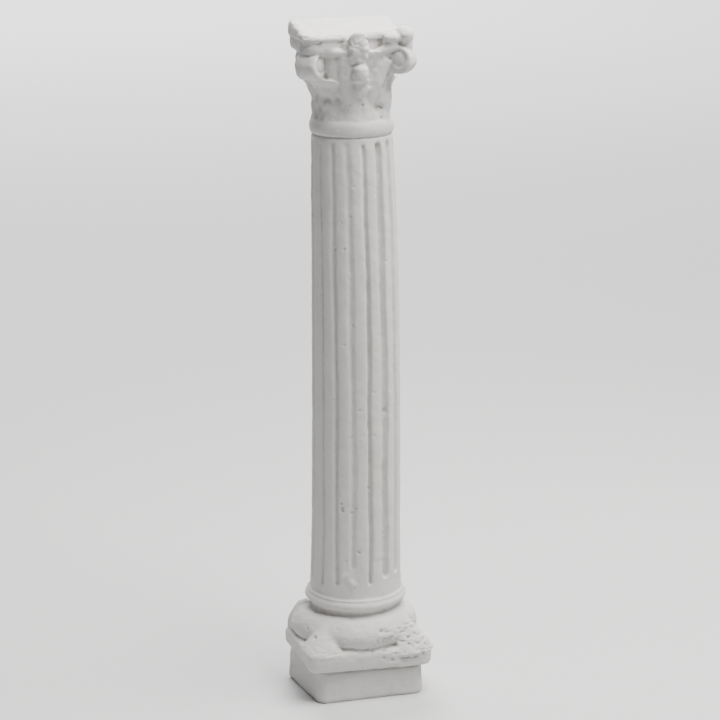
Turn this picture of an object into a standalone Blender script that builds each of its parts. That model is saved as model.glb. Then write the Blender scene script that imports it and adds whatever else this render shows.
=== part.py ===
"""Half column of a small cast set piece: one solid plaster casting, flat at the back.

The origin is on the underside, on the axis of the shaft. The front faces -Y, +X is the
viewer's right, and the flat back is a plane a little behind the axis. Sizes are in metres.
"""
from math import cos, exp, hypot, pi, radians, sin, sqrt, tan

import bmesh
import bpy
from mathutils import Vector

# Heights of the layers, from the underside up
block_height = 0.0082
plinth_height = 0.0055
torus_height = 0.0071
scotia_height = 0.0019
roll_height = 0.0022
fillet_height = 0.0007
shaft_height = 0.1168
neck_height = 0.0038
bell_height = 0.0162
cavetto_height = 0.0034
slab_height = 0.0039

# Flat back, and the draft that let the piece leave its mould
wall_back = 0.0045
block_half_width = 0.0135
block_back_half_width = 0.0162
block_front = 0.0146
block_foot_flare = 0.0004
block_corner = 0.0024
plinth_half_width = 0.0161
plinth_back_half_width = 0.0178
plinth_front = 0.0159
plinth_corner = 0.0024
edge_round = 0.0010

# Turned mouldings of the base
base_shift = -0.0006
torus_radius = 0.0161
torus_core = 0.0129
torus_middle_rise = 0.0024
scotia_radius = 0.0115
roll_radius = 0.01295
fillet_radius = 0.01245

# Claws that climb from the plinth over the torus: turn, spread, how full they are
front_claw_turn = radians(47)
front_claw_spread = radians(18)
front_claw_inset = 0.0010
front_claw_fullness = 1.6
back_claw_turn = radians(107)
back_claw_spread = radians(19)
back_claw_inset = 0.0002
back_claw_fullness = 3.2

# Shaft
foot_radius = 0.0111
head_radius = 0.00985
foot_spread = 0.0006
foot_spread_run = 0.0110
head_lean = -0.00085
belly_lean = 0.0003
flute_count = 16
flute_width = 0.0018
flute_depth = 0.0008
flute_foot_margin = 0.0038
flute_head_margin = 0.0013
flute_end_length = 0.0011

# Neck ring and bell
neck_radius = 0.0103
bell_foot_radius = 0.0088
bell_lip_radius = 0.0117
bell_curve = 4.0
capital_shift = -0.0009

# Leaves round the bell: turn from the front, height, half width, reach of the curl
left_leaf_turn = radians(-58)
left_leaf_height = 0.0107
left_leaf_half_width = 0.0050
left_leaf_reach = 0.0026
right_leaf_turn = radians(51)
right_leaf_height = 0.0120
right_leaf_half_width = 0.0038
right_leaf_reach = 0.0011
front_leaf_turn = radians(-6)
front_leaf_height = 0.0110
front_leaf_half_width = 0.0043
front_leaf_reach = 0.0011
leaf_thickness = 0.0011
back_leaf_turn = radians(100)
back_leaf_reach = 0.0024

# Block-like tip of the front leaf
tip_half_width = 0.0020
tip_low = 0.0094
tip_high = 0.0140
tip_reach = 0.0124

# Corner scrolls
scroll_groove = 0.0006
scroll_turns = 1.4
left_scroll_turn = radians(-60)
left_scroll_facing = radians(-46)
left_scroll_reach = 0.0136
left_scroll_radius = 0.0035
left_scroll_half_width = 0.0029
left_scroll_drop = 0.0027
right_scroll_turn = radians(49)
right_scroll_reach = 0.0132
right_scroll_radius = 0.0034
right_scroll_half_width = 0.0023
right_scroll_drop = 0.0017

# Stems under the abacus
stem_radius = 0.0012
side_stem_radius = 0.0021

# Swellings of the bell between leaves and scrolls
inner_swelling = 0.0021
left_inner_turn = radians(-25)
right_inner_turn = radians(23)
outer_swelling = 0.0014
outer_swelling_turn = radians(45)
swelling_spread = radians(13)

# Abacus: straight left end, hollow front and right side, blunt horn at the right
left_end = -0.0147
left_straight = 0.0045
left_corner_turn = radians(-49)
left_corner_reach = 0.0163
right_horn_turn = radians(49)
right_horn_reach = 0.0163
horn_half_width = 0.0019
horn_swell = 0.0020
front_hollow = 0.0095
right_end = 0.0114
right_hollow = 0.0012
cavetto_inset = 0.0005
slab_round = 0.0008
slab_fall = radians(9.5)

# Ornament in the middle of the abacus
fleuron_turn = radians(-8)
fleuron_reach = 0.0112
fleuron_half_width = 0.0027
fleuron_half_height = 0.0036
fleuron_projection = 0.0020
fleuron_ridges = 9

# Facets
turned_sides = 48
scroll_sides = 20
joint_overlap = 0.0006

# Levels where one layer meets the next
block_top = block_height
plinth_top = block_top + plinth_height
torus_top = plinth_top + torus_height
scotia_top = torus_top + scotia_height
roll_top = scotia_top + roll_height
fillet_top = roll_top + fillet_height
shaft_top = fillet_top + shaft_height
neck_top = shaft_top + neck_height
bell_top = neck_top + bell_height
cavetto_top = bell_top + cavetto_height
slab_top = cavetto_top + slab_height


def clear_scene():
    """Start from an empty scene."""
    for thing in list(bpy.data.objects):
        bpy.data.objects.remove(thing, do_unlink=True)


def loft(name, rings):
    """Closed solid through rings of equal count, listed from one end to the other."""
    mesh = bpy.data.meshes.new(name)
    build = bmesh.new()
    rows = [[build.verts.new(point) for point in ring] for ring in rings]
    for lower, upper in zip(rows, rows[1:]):
        for i in range(len(lower)):
            j = (i + 1) % len(lower)
            build.faces.new((lower[i], lower[j], upper[j], upper[i]))
    for end in (rows[0], rows[-1]):
        centre = build.verts.new(sum((v.co for v in end), Vector()) / len(end))
        for i in range(len(end)):
            build.faces.new((end[i], end[(i + 1) % len(end)], centre))
    bmesh.ops.triangulate(build, faces=build.faces[:])
    bmesh.ops.recalc_face_normals(build, faces=build.faces[:])
    build.to_mesh(mesh)
    build.free()
    thing = bpy.data.objects.new(name, mesh)
    bpy.context.collection.objects.link(thing)
    return thing


def around(turn, reach, height, shift=0.0):
    """Point at a turn from the front of the column, positive to the viewer's right."""
    return Vector((shift + reach * sin(turn), -reach * cos(turn), height))


def turned(name, profile, shift=0.0):
    """Solid of revolution through (radius, height) pairs."""
    turns = [2 * pi * i / turned_sides for i in range(turned_sides)]
    return loft(name, [[around(t, radius, height, shift) for t in turns] for radius, height in profile])


def bulge(inner, outer, low, high, count):
    """Half-round moulding between two heights, as (radius, height) pairs."""
    middle = (low + high) / 2
    half = (high - low) / 2
    steps = [-pi / 2 + pi * i / count for i in range(count + 1)]
    return [(inner + (outer - inner) * cos(s), middle + half * sin(s)) for s in steps]


def drafted_block(name, low, high, half_width, back_half_width, front, corner, foot_flare=0.0):
    """Block that widens to the back, with its front corners and long edges rounded."""
    rise = (back_half_width - half_width) / (front + wall_back)
    back = wall_back + joint_overlap * 2
    levels = [(low, edge_round * 0.5 - foot_flare), (low + edge_round * 0.6, -foot_flare),
              (high - edge_round, 0.0), (high - edge_round * 0.3, edge_round * 0.4), (high, edge_round * 1.3)]
    rings = []
    for height, inset in levels:
        reach = front - inset
        ring = []
        for side in (-1, 1):
            arc = [radians(90) * i / 4 for i in range(5)]
            if side == 1:
                arc.reverse()
            for a in arc:
                y = -reach + corner * (1 - sin(a))
                x = half_width - inset + rise * (y + front) - corner * (1 - cos(a))
                ring.append(Vector((side * x, y, height)))
        x_back = half_width - inset + rise * (back + front)
        ring.append(Vector((x_back, back, height)))
        ring.append(Vector((-x_back, back, height)))
        rings.append(ring)
    return loft(name, rings)


def claw(name, turn, spread, foot_reach, fullness):
    """Broad ramp from the edge of the plinth, over the torus, to the scotia, narrower as it climbs."""
    foot = plinth_top - edge_round
    climb = torus_top - joint_overlap * 0.4 - foot
    rings = []
    for out in (1.0, 0.9, 0.74, 0.56, 0.38, 0.18, 0.0):
        climbed = 1 - out
        reach = torus_core * 0.95 + (foot_reach - torus_core * 0.95) * out
        height = foot + climb * (1 - out ** fullness)
        low = foot - joint_overlap + climb * climbed * 0.7
        ring = []
        for i in range(9):
            u = -1 + i / 4
            side_reach = reach * (1 - (0.05 + 0.17 * out) * abs(u) ** 1.4)
            side_height = height - (height - low) * abs(u) ** 2.4
            side_turn = turn + u * spread * (1.35 - 0.6 * climbed)
            ring.append(around(side_turn, side_reach, side_height, base_shift * climbed))
        ring.append(around(turn, torus_core * 0.6, height, base_shift))
        rings.append(ring)
    return loft(name, rings)


def torus():
    """Bulge whose underside tucks in behind the top of the plinth."""
    middle = plinth_top + torus_middle_rise
    profile = []
    for degrees in (-60, -40, -20, 0, 20, 40, 60, 77, 90):
        a = radians(degrees)
        radius = torus_core + (torus_radius - torus_core) * cos(a)
        profile.append((radius, middle + (torus_top - middle) * sin(a)))
    return turned("torus", profile, base_shift)


def base_rings():
    """Scotia, upper roll and the narrow fillet under the shaft."""
    core = torus_core * 0.95
    profile = [(core, torus_top - joint_overlap * 2), (core, torus_top - joint_overlap * 0.1)]
    profile.append((scotia_radius, torus_top + scotia_height * 0.5))
    profile.append((scotia_radius * 1.02, scotia_top - joint_overlap * 0.3))
    profile += bulge(roll_radius - roll_height * 0.45, roll_radius, scotia_top, roll_top, 6)
    profile += bulge(fillet_radius - fillet_height * 0.5, fillet_radius, roll_top, fillet_top, 3)
    return turned("base_rings", profile)


def shaft_radius(height):
    """Radius of the bands: a spread foot, a long swell and a quick taper to the neck."""
    rise = (height - fillet_top) / shaft_height
    spread = foot_spread * exp(-max(height - fillet_top, 0.0) / foot_spread_run)
    return foot_radius - (foot_radius - head_radius) * max(rise, 0.0) ** 3 + spread


def lean(height):
    """Sideways place of the shaft's axis: a slight belly to the right, then a lean to the left."""
    rise = min(max((height - fillet_top) / shaft_height, 0.0), 1.0)
    return head_lean * rise ** 3 + belly_lean * sin(pi * rise)


def fluted_shaft():
    """Shaft with rounded flutes that stop short of both ends."""
    foot = fillet_top + flute_foot_margin
    head = shaft_top - flute_head_margin
    levels = [(fillet_top - joint_overlap, 0.0), (foot, 0.0)]
    levels += [(foot + flute_end_length * s, sqrt(1 - (1 - s) ** 2)) for s in (0.35, 1.0)]
    run = head - foot - 2 * flute_end_length
    levels += [(foot + flute_end_length + run * s, 1.0) for s in (0.1, 0.28, 0.5, 0.7, 0.86)]
    levels += [(head - flute_end_length * s, sqrt(1 - (1 - s) ** 2)) for s in (1.0, 0.35)]
    levels += [(head, 0.0), (shaft_top + neck_height / 2, 0.0)]
    rings = []
    for height, cut in levels:
        radius = shaft_radius(height)
        half_turn = flute_width / 2 / foot_radius
        ring = []
        for k in range(flute_count):
            middle = 2 * pi * k / flute_count
            for u in (-1.0, -0.6, 0.0, 0.6, 1.0):
                depth = flute_depth * cut * sqrt(1 - u * u)
                ring.append(around(middle + u * half_turn, radius - depth, height, lean(height)))
            ring.append(around(middle + pi / flute_count, radius, height, lean(height)))
        rings.append(ring)
    return loft("fluted_shaft", rings)


def bell_radius(height):
    """Radius of the bell's face at a height."""
    share = min(max((height - neck_top) / bell_height, 0.0), 1.0)
    return bell_foot_radius + (bell_lip_radius - bell_foot_radius) * share ** bell_curve


def swelling(turn, share):
    """How far the bell swells out at a turn and a share of its height."""
    places = [(left_inner_turn, inner_swelling), (right_inner_turn, inner_swelling),
              (-outer_swelling_turn, outer_swelling), (outer_swelling_turn, outer_swelling)]
    out = sum(most * exp(-((turn - place) / swelling_spread) ** 2) for place, most in places)
    return out * min(max(share, 0.0) * 2, 1.0)


def neck_and_bell():
    """Neck ring and the bell that carries the leaves and scrolls."""
    profile = [(bell_foot_radius, shaft_top - joint_overlap * 0.5, 0.0)]
    ring_foot = neck_radius - neck_height * 0.26
    profile += [(radius, height, 0.0) for radius, height in bulge(ring_foot, neck_radius, shaft_top, neck_top, 6)]
    profile.append((bell_foot_radius, neck_top + joint_overlap, 0.0))
    for share in (0.15, 0.3, 0.45, 0.6, 0.72, 0.86, 1.0):
        radius = bell_foot_radius + (bell_lip_radius - bell_foot_radius) * share ** bell_curve
        profile.append((radius, neck_top + (bell_height + joint_overlap) * share, share))
    turns = [2 * pi * i / turned_sides - pi for i in range(turned_sides)]
    return loft("neck_and_bell", [[around(t, radius + swelling(t, share), height, capital_shift) for t in turns]
                                  for radius, height, share in profile])


def leaf(name, turn, height, half_width, reach):
    """Lobed leaf that hugs the bell and swells out to a lip at its tip."""
    # share of the height, share of the width, share of the reach
    stations = [(0.0, 0.80, 0.0), (0.22, 0.98, 0.06), (0.36, 0.82, 0.14), (0.55, 1.0, 0.26),
                (0.70, 0.82, 0.50), (0.84, 0.84, 0.86), (0.93, 0.70, 1.0), (1.0, 0.50, 0.85)]
    # share of the half width, share of the thickness
    ribs = [(-1.0, 0.25), (-0.5, 0.75), (-0.18, 0.7), (0.0, 1.0), (0.18, 0.7), (0.5, 0.75), (1.0, 0.25)]
    rings = []
    for up, wide, out in stations:
        level = neck_top - joint_overlap + height * up
        face = bell_radius(level)
        back = face - leaf_thickness * 0.7
        front = face + leaf_thickness * 0.7 + reach * out
        half_turn = half_width * wide / front
        ring = []
        for u, rib in ribs:
            ring.append(around(turn + u * half_turn, back + (front - back) * rib, level, capital_shift))
        ring.append(around(turn + half_turn * 0.7, back, level, capital_shift))
        ring.append(around(turn - half_turn * 0.7, back, level, capital_shift))
        rings.append(ring)
    return loft(name, rings)


def leaf_tip():
    """Blunt block that hangs over the front leaf, under the shell."""
    rings = []
    # share of the height, share of the width, share of the reach
    stations = [(0.0, 0.85, 0.75), (0.08, 1.0, 0.95), (0.5, 1.05, 1.0), (0.85, 0.95, 0.85), (1.0, 0.75, 0.55)]
    for up, wide, out in stations:
        level = neck_top + tip_low + (tip_high - tip_low) * up
        back = bell_foot_radius
        front = back + (tip_reach - back) * out
        half_turn = tip_half_width * wide / front
        crown = (front - back) * 0.12
        ring = [around(front_leaf_turn + half_turn * u, front - crown * u * u, level, capital_shift)
                for u in (-1.0, -0.6, 0.0, 0.6, 1.0)]
        ring += [around(front_leaf_turn + half_turn * u, back - joint_overlap, level, capital_shift)
                 for u in (1.0, -1.0)]
        rings.append(ring)
    return loft("leaf_tip", rings)


def corner_scroll(name, turn, facing, reach, level, scroll_radius, scroll_half_width):
    """Thick scroll on a corner, its rim turned to face outwards, a spiral groove cut in each face."""
    centre = around(turn, reach, level, capital_shift)
    axis = Vector((cos(facing), sin(facing), 0))
    out = Vector((sin(facing), -cos(facing), 0))
    rings = []
    stations = [(-1, 0.14), (-1, 0.36), (-1, 0.58), (-1, 0.80), (-0.8, 0.97), (-0.3, 1.0),
                (0.3, 1.0), (0.8, 0.97), (1, 0.80), (1, 0.58), (1, 0.36), (1, 0.14)]
    for along, share in stations:
        ring = []
        for i in range(scroll_sides):
            a = 2 * pi * i / scroll_sides
            winding = cos(2 * pi * scroll_turns * (share - 0.14) / 0.66 - a)
            dip = scroll_groove * (0.5 - 0.5 * winding) if abs(along) == 1 and share > 0.2 else 0.0
            side = along * scroll_half_width - dip * (1 if along > 0 else -1)
            radius = scroll_radius * share
            ring.append(centre + axis * side + out * (radius * cos(a)) + Vector((0, 0, radius * sin(a))))
        rings.append(ring)
    return loft(name, rings)


def round_stem(name, stations, radius, sides=8):
    """Round form through (degrees, reach, height above the bell's foot) stations in the capital."""
    points = [around(radians(turn), reach, neck_top + up, capital_shift) for turn, reach, up in stations]
    rings = []
    for i, point in enumerate(points):
        way = (points[min(i + 1, len(points) - 1)] - points[max(i - 1, 0)]).normalized()
        across = Vector((0, 0, 1)).cross(way).normalized()
        up = way.cross(across)
        turns = [2 * pi * k / sides for k in range(sides)]
        rings.append([point + across * (radius * cos(a)) + up * (radius * sin(a)) for a in turns])
    return loft(name, rings)


def stems():
    """Stems that run under the abacus to the scrolls."""
    under = bell_height
    left, right = left_scroll_reach, right_scroll_reach
    left_stem = [(-20, left * 0.71, under - 0.0018), (-28, left * 0.8, under),
                 (-42, left * 0.89, under + 0.0006), (-56, left * 0.98, under + 0.0003),
                 (-66, left * 1.02, under - 0.0003)]
    right_stem = [(6, right * 0.73, under - 0.0018), (16, right * 0.8, under - 0.0002),
                  (28, right * 0.89, under + 0.0012), (40, right * 0.95, under + 0.0016),
                  (52, right, under + 0.0013)]
    left_side = [(-52, left * 0.84, under - 0.0004), (-85, left * 0.88, under + 0.0010),
                 (-106, left * 0.88, under + 0.0014)]
    right_side = [(60, right * 0.95, under), (85, right * 0.84, under + 0.0003), (110, right * 0.83, under)]
    return [round_stem("left_stem", left_stem, stem_radius),
            round_stem("right_stem", right_stem, stem_radius),
            round_stem("left_side_stem", left_side, side_stem_radius),
            round_stem("right_side_stem", right_side, stem_radius)]


def abacus_outline(inset):
    """Plan of the abacus from the back left corner, round the front, to the back right."""
    back = wall_back + joint_overlap * 2
    left = around(left_corner_turn, left_corner_reach - inset, 0)
    right = around(right_horn_turn, right_horn_reach - inset, 0)
    width = horn_half_width
    points = [(left_end + inset, back), (left_end + inset, -left_straight)]
    points += [((left_end + inset) * 0.7 + left.x * 0.3, -left_straight * 0.35 + left.y * 0.65),
               (left.x - width * 0.15, left.y + width * 0.25), (left.x + width, left.y - width * 0.15)]
    face = -(front_hollow - inset)
    for share in (0.3, 0.52, 0.74):
        x = left.x + (right.x - left.x) * share
        rim = left.y + (right.y - left.y) * share
        points.append((x, rim + (face - rim) * (1 - abs(2 * share - 1) ** 2)))
    points += [(right.x - width * 0.9, right.y - width * 0.2), (right.x + width * 0.1, right.y - width * 0.1),
               (right.x + width * 0.2, right.y + width)]
    points += [(right_end - inset - right_hollow, right.y * 0.4), (right_end - inset, wall_back * 0.3),
               (right_end - inset, back)]
    return points


def abacus():
    """Lower layer, a groove, and the slab whose top falls to the front."""
    # height, how far it stands back from the outline
    levels = [(bell_top - joint_overlap * 0.3, cavetto_inset * 4),
              (bell_top + cavetto_height * 0.2, cavetto_inset * 1.5),
              (cavetto_top - joint_overlap, cavetto_inset),
              (cavetto_top - joint_overlap * 0.3, cavetto_inset * 2),
              (cavetto_top + joint_overlap * 0.3, slab_round * 0.3), (cavetto_top + slab_round, 0.0),
              (slab_top - slab_round, slab_round * 0.1), (slab_top - slab_round * 0.25, slab_round * 0.5),
              (slab_top, slab_round * 1.2)]
    rings = []
    for height, inset in levels:
        tilt = tan(slab_fall) * max(height - cavetto_top, 0.0) / slab_height
        rings.append([Vector((x + capital_shift, y, height + (y - wall_back) * tilt))
                      for x, y in abacus_outline(inset)])
    return loft("abacus", rings)


def horn_end():
    """Blunt swelling that ends the right horn."""
    middle = around(right_horn_turn, right_horn_reach - horn_swell, cavetto_top + joint_overlap, capital_shift)
    rings = []
    for i in range(1, 8):
        a = pi * i / 8
        wide = horn_swell * sin(a)
        up = horn_swell * 0.85 * cos(a)
        rings.append([middle + Vector((wide * cos(pi * k / 6), wide * sin(pi * k / 6), up)) for k in range(12)])
    return loft("horn_end", rings)


def fleuron(name):
    """Ridged shell in the middle of the front, plain enough to suit any set."""
    middle = around(fleuron_turn, fleuron_reach, bell_top + (slab_top - bell_top) * 0.22, capital_shift)
    out = Vector((sin(fleuron_turn), -cos(fleuron_turn), 0))
    across = Vector((cos(fleuron_turn), sin(fleuron_turn), 0))
    count = fleuron_ridges * 2
    rings = []
    for share, depth in ((0.55, -0.9), (1.0, 0.0), (0.82, 0.55), (0.5, 0.85), (0.18, 0.8)):
        ring = []
        for i in range(count):
            a = 2 * pi * i / count
            swell = share * (1.0 + (0.09 if i % 2 else -0.07))
            aside = across * (fleuron_half_width * swell * cos(a))
            rise = Vector((0, 0, fleuron_half_height * swell * sin(a)))
            ring.append(middle + out * (fleuron_projection * depth) + aside + rise)
        rings.append(ring)
    return loft(name, rings)


def join(target, others, operation="UNION"):
    """Boolean of the target with each other solid in turn, applied."""
    for other in others:
        step = target.modifiers.new("join", "BOOLEAN")
        step.operation = operation
        step.solver = "EXACT"
        step.object = other
        bpy.context.view_layer.update()
        shape = bpy.data.meshes.new_from_object(target.evaluated_get(bpy.context.evaluated_depsgraph_get()))
        target.modifiers.clear()
        old = target.data
        target.data = shape
        bpy.data.meshes.remove(old)
        bpy.data.objects.remove(other, do_unlink=True)


def wall_cutter():
    """Box behind the wall plane, which leaves the back flat."""
    reach = 0.1
    corners = [(-reach, wall_back), (reach, wall_back), (reach, wall_back + reach), (-reach, wall_back + reach)]
    return loft("wall_cutter", [[Vector((x, y, z)) for x, y in corners] for z in (-reach, slab_top + reach)])


def plaster():
    """White casting plaster, dull and even."""
    material = bpy.data.materials.new("plaster")
    material.use_nodes = True
    shader = material.node_tree.nodes["Principled BSDF"]
    shader.inputs["Base Color"].default_value = (0.80, 0.79, 0.78, 1.0)
    shader.inputs["Roughness"].default_value = 0.85
    shader.inputs["Metallic"].default_value = 0.0
    return material


def half_column():
    """The whole casting as one solid."""
    body = drafted_block("half_column", 0.0, block_top + joint_overlap, block_half_width, block_back_half_width,
                         block_front, block_corner, block_foot_flare)
    upper = drafted_block("plinth", block_top, plinth_top, plinth_half_width, plinth_back_half_width,
                          plinth_front, plinth_corner)
    front_corner = hypot(plinth_half_width, plinth_front) - front_claw_inset
    back_corner = hypot(plinth_back_half_width, wall_back) - back_claw_inset
    pieces = [upper, torus(), base_rings()]
    for place, side in (("left", -1), ("right", 1)):
        pieces.append(claw("front_claw_" + place, side * front_claw_turn, front_claw_spread, front_corner,
                           front_claw_fullness))
        pieces.append(claw("back_claw_" + place, side * back_claw_turn, back_claw_spread, back_corner,
                           back_claw_fullness))
    pieces += [fluted_shaft(), neck_and_bell()]
    leaves = [("left_leaf", left_leaf_turn, left_leaf_height, left_leaf_half_width, left_leaf_reach),
              ("right_leaf", right_leaf_turn, right_leaf_height, right_leaf_half_width, right_leaf_reach),
              ("front_leaf", front_leaf_turn, front_leaf_height, front_leaf_half_width, front_leaf_reach),
              ("back_leaf_left", -back_leaf_turn, left_leaf_height, right_leaf_half_width, back_leaf_reach),
              ("back_leaf_right", back_leaf_turn, left_leaf_height, right_leaf_half_width, back_leaf_reach)]
    pieces += [leaf(*values) for values in leaves]
    pieces.append(leaf_tip())
    pieces.append(corner_scroll("left_scroll", left_scroll_turn, left_scroll_facing, left_scroll_reach,
                                bell_top - left_scroll_drop, left_scroll_radius, left_scroll_half_width))
    pieces.append(corner_scroll("right_scroll", right_scroll_turn, right_scroll_turn, right_scroll_reach,
                                bell_top - right_scroll_drop, right_scroll_radius, right_scroll_half_width))
    pieces += stems()
    pieces.append(abacus())
    pieces.append(horn_end())
    pieces.append(fleuron("fleuron"))
    join(body, pieces)
    join(body, [wall_cutter()], "DIFFERENCE")
    body.data.materials.clear()
    body.data.materials.append(plaster())
    body.data.shade_smooth()
    body.data.set_sharp_from_angle(angle=radians(40))
    return body


clear_scene()
half_column()
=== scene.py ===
# %% [markdown]
# # A small plaster half column
# The real thing is one hand-sized casting: white plaster poured into a soft mould, turned out while
# still damp, and left as it came. Everything that makes it look real follows from that. Its
# carving is blunt, its edges are round, its flutes wander, and air bubbles left pits in the face.
# This lesson builds crisp parts first, fuses them into one skin, and then wears that skin by code.

# %% The frame and the measure
from math import cos, exp, pi, radians, sin, sqrt

import bmesh
import bpy
import numpy as np
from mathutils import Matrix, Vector


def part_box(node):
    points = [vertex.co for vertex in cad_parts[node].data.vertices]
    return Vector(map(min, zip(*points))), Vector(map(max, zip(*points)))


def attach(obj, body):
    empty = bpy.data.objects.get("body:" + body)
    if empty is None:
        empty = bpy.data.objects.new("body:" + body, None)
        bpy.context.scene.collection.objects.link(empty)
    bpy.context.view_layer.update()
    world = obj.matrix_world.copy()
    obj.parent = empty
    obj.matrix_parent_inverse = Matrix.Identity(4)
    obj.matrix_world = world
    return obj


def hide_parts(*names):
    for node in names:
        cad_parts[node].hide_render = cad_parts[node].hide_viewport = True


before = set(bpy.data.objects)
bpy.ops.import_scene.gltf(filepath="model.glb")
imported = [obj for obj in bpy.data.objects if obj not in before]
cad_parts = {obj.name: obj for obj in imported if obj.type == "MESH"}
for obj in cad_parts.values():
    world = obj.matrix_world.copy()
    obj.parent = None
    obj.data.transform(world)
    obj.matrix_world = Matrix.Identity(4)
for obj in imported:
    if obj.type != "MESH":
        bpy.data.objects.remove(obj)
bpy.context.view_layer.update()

foot_corner, head_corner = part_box("half_column")
DESIGN_HEIGHT = 169.7
mm = (head_corner.z - foot_corner.z) / DESIGN_HEIGHT
WALL = head_corner.y / mm
BEHIND = WALL + 1.5  # forms that are cut flat at the back reach this far behind the axis
print("one millimetre of the casting is", round(mm, 6), "m")
print("the flat back is", round(WALL, 2), "mm behind the axis")

# %% [markdown]
# ## Levels
# A column is a stack of layers, and a mould maker sets them out by height before anything else.
# All sizes from here on are millimetres of the casting, counted from its underside.

# %% Levels of the layers
BLOCK_TOP = 8.2
PLINTH_TOP = 13.7
TORUS_TOP = 20.8
SCOTIA_TOP = 22.7
ROLL_TOP = 24.9
FILLET_TOP = 25.6
SHAFT_TOP = 142.4
NECK_TOP = 146.2
BELL_TOP = 162.4
SLAB_TOP = 169.7
CAPITAL_SHIFT = -0.9  # the shaft leans, so its capital sits to the left
print("layers end at", SLAB_TOP, "mm")

# %% [markdown]
# ## Closed skins from rings
# Almost every form here is a stack of closed rings: a turned moulding, a block with round
# corners, a leaf, a scroll. One helper joins rings of equal count into a closed skin, so each
# form only has to say where its rings lie. Closed skins matter, because they are fused later.

# %% Ring helpers
raw_forms = []


def skin(name, rings):
    """Closed skin through rings of (x, y, z) in millimetres, kept for the fusing step."""
    rows = np.array([[tuple(p) for p in ring] for ring in rings], float)
    count, around_count = rows.shape[:2]
    ids = np.arange(count * around_count).reshape(count, around_count)
    following = np.roll(ids, -1, axis=1)
    quads = np.stack([ids[:-1], following[:-1], following[1:], ids[1:]], axis=-1).reshape(-1, 4)
    faces = quads.tolist() + [ids[0][::-1].tolist(), ids[-1].tolist()]
    mesh = bpy.data.meshes.new(name)
    mesh.from_pydata((rows.reshape(-1, 3) * mm).tolist(), [], faces)
    form = bmesh.new()
    form.from_mesh(mesh)
    bmesh.ops.recalc_face_normals(form, faces=form.faces[:])
    form.to_mesh(mesh)
    form.free()
    thing = bpy.data.objects.new(name, mesh)
    bpy.context.collection.objects.link(thing)
    raw_forms.append(thing)
    return thing


def at(turn, reach, height, shift=0.0):
    """Point by its turn from the front in degrees, its reach from the axis and its height."""
    a = radians(turn)
    return (shift + reach * sin(a), -reach * cos(a), height)


def eased(keys, t):
    """Smooth value at t from (place, value) pairs, easing between them."""
    places, values = zip(*keys)
    i = int(np.clip(np.searchsorted(places, t) - 1, 0, len(places) - 2))
    share = np.clip((t - places[i]) / (places[i + 1] - places[i]), 0, 1)
    before = values[max(i - 1, 0)]
    after = values[min(i + 2, len(values) - 1)]
    a, b = values[i], values[i + 1]
    return 0.5 * (2 * a + (b - before) * share + (2 * before - 5 * a + 4 * b - after) * share ** 2
                  + (3 * a - before - 3 * b + after) * share ** 3)


def eased_stations(stations, count):
    """Eased stations at count + 1 even places along a list of stations."""
    last = len(stations) - 1
    keys = [[(i, station[k]) for i, station in enumerate(stations)] for k in range(len(stations[0]))]
    return [[eased(key, last * i / count) for key in keys] for i in range(count + 1)]


def turned(name, profile, sides=240, shift=0.0):
    """Form turned on the lathe from (radius, height) pairs."""
    turns = [360 * i / sides for i in range(sides)]
    return skin(name, [[at(t, r, z, shift) for t in turns] for r, z in profile])


def bulge(inner, outer, low, high, count=12):
    """Half-round moulding between two heights."""
    steps = [-pi / 2 + pi * i / count for i in range(count + 1)]
    return [(inner + (outer - inner) * cos(s), (low + high) / 2 + (high - low) / 2 * sin(s))
            for s in steps]


def ball(name, centre, size, rows=14, sides=24, turn=0.0):
    """Egg-shaped lump with its own three half sizes, turned about the upright axis."""
    a = radians(turn)
    rings = []
    for i in range(1, rows):
        s = pi * i / rows
        ring = []
        for k in range(sides):
            c = 2 * pi * k / sides
            x, y, z = size[0] * sin(s) * cos(c), size[1] * sin(s) * sin(c), size[2] * cos(s)
            ring.append((centre[0] + x * cos(a) - y * sin(a),
                         centre[1] + x * sin(a) + y * cos(a),
                         centre[2] + z))
        rings.append(ring)
    return skin(name, rings)


def cord_form(name, stations, sides=16):
    """Round form along (turn, reach, height, radius) stations in the capital, eased between them."""
    count = (len(stations) - 1) * 6
    samples = eased_stations(stations, count)
    points = [Vector(at(t, r, z, CAPITAL_SHIFT)) for t, r, z, _ in samples]
    rings = []
    for i, (point, sample) in enumerate(zip(points, samples)):
        way = (points[min(i + 1, count)] - points[max(i - 1, 0)]).normalized()
        across = Vector((0, 0, 1)).cross(way).normalized()
        up = way.cross(across)
        rings.append([point + (across * cos(2 * pi * k / sides) + up * sin(2 * pi * k / sides)) * sample[3]
                      for k in range(sides)])
    return skin(name, rings)


print("helpers ready")

# %% [markdown]
# ## Block and plinth
# The lower block and the plinth widen towards the back. That draft is what lets a casting slide
# out of a one-piece mould. Their edges were never sharp, so each level carries its own inset.

# %% The two square layers
PLINTH_FRONT = 16.0
PLINTH_TILT = (0.027, 0.045, 0.06)


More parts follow.
